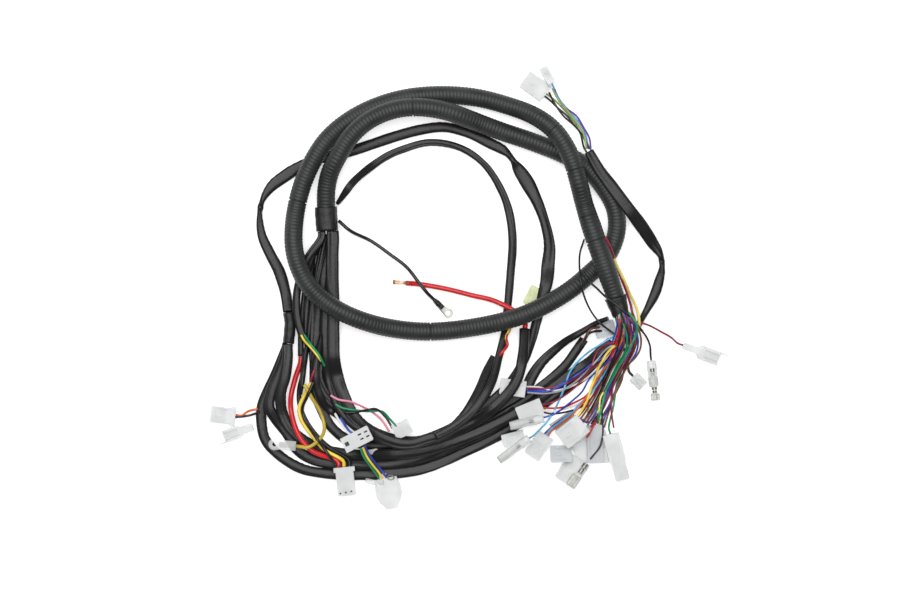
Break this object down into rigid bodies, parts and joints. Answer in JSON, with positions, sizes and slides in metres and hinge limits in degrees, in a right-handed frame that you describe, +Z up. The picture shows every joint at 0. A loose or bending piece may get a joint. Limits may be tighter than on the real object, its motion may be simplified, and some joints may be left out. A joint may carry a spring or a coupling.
{
  "type": "wiring harness",
  "caption": "Vehicle wiring harness laid flat: a long corrugated conduit loop, a bunch of black PVC sleeves, coloured wires, nylon connector housings and crimped terminals.",
  "frame": {"origin": "centre of the laid-out harness's box in plan, on the surface it lies on", "axes": "+X along the long way of the laid-out harness, towards the instrument branch; +Y towards the two instrument connectors; +Z up"},
  "size_m": [0.4351, 0.3713, 0.0323],
  "materials": {
    "conduit": "matte ribbed",
    "tape": "satin wound PVC tape",
    "sleeve": "satin soft PVC tube",
    "nylon": "milky moulded nylon",
    "grey_nylon": "grey moulded nylon",
    "pale_yellow_nylon": "pale yellow moulded nylon",
    "clear_pvc": "clear soft PVC",
    "tinned_brass": "tinned, bright",
    "wire_black": "glossy PVC",
    "wire_red": "glossy PVC",
    "wire_orange": "glossy PVC",
    "wire_yellow": "glossy PVC",
    "wire_sky": "glossy PVC",
    "wire_blue": "glossy PVC",
    "wire_green": "glossy PVC"
  },
  "bodies": {
    "root": {"main_conduit": "conduit", "tape_wrap_a": "tape", "tape_wrap_b": "tape", "joint_tape": "tape", "bunch_sleeve_outer": "sleeve", "bunch_sleeve_middle": "sleeve", "bunch_sleeve_inner": "sleeve", "outer_loop_sleeve": "sleeve", "bunch_sleeve_lower": "sleeve", "bunch_sleeve_upper": "sleeve", "black_lead_sleeve": "sleeve", "supply_sleeve": "sleeve", "short_sleeve": "sleeve", "right_side_sleeve": "sleeve", "inner_loop_sleeve": "sleeve", "supply_branch_sleeve": "sleeve", "instrument_sleeve": "sleeve", "two_way_housing": "nylon", "crossed_housing": "nylon", "small_housing": "nylon", "three_way_housing": "nylon", "instrument_housing": "nylon", "indicator_housing": "nylon", "tail_housing": "nylon", "four_way_housing": "nylon", "tapered_housing": "nylon", "cluster_housing_bottom": "nylon", "cluster_housing_left": "nylon", "cluster_housing_upper": "nylon", "cluster_housing_corner": "nylon", "cluster_housing_big": "nylon", "cluster_housing_long": "nylon", "horn_housing": "nylon", "root_housing": "grey_nylon", "cluster_housing_side": "grey_nylon", "cluster_housing_low": "grey_nylon", "pale_yellow_housing": "pale_yellow_nylon", "clear_lug": "clear_pvc", "spade_sleeve_upper": "clear_pvc", "spade_sleeve_lower": "clear_pvc", "spade_sleeve_right": "clear_pvc", "clear_cap": "clear_pvc", "ring_terminal": "tinned_brass", "bare_terminal": "tinned_brass", "box_terminal": "tinned_brass", "instrument_wire_black": "wire_black", "earth_lead": "wire_black", "cap_wire_black": "wire_black", "spade_wire_black": "wire_black", "supply_lead": "wire_red", "supply_wire": "wire_red", "horn_wire": "wire_red", "two_way_wire_orange": "wire_orange", "charge_wire": "wire_yellow", "lug_wire": "wire_yellow", "fan_wire_yellow": "wire_yellow", "indicator_wire_blue": "wire_sky", "fan_wire_sky": "wire_sky", "fan_wire_blue": "wire_blue", "fan_wire_green": "wire_green"}
  },
  "joints": []
}
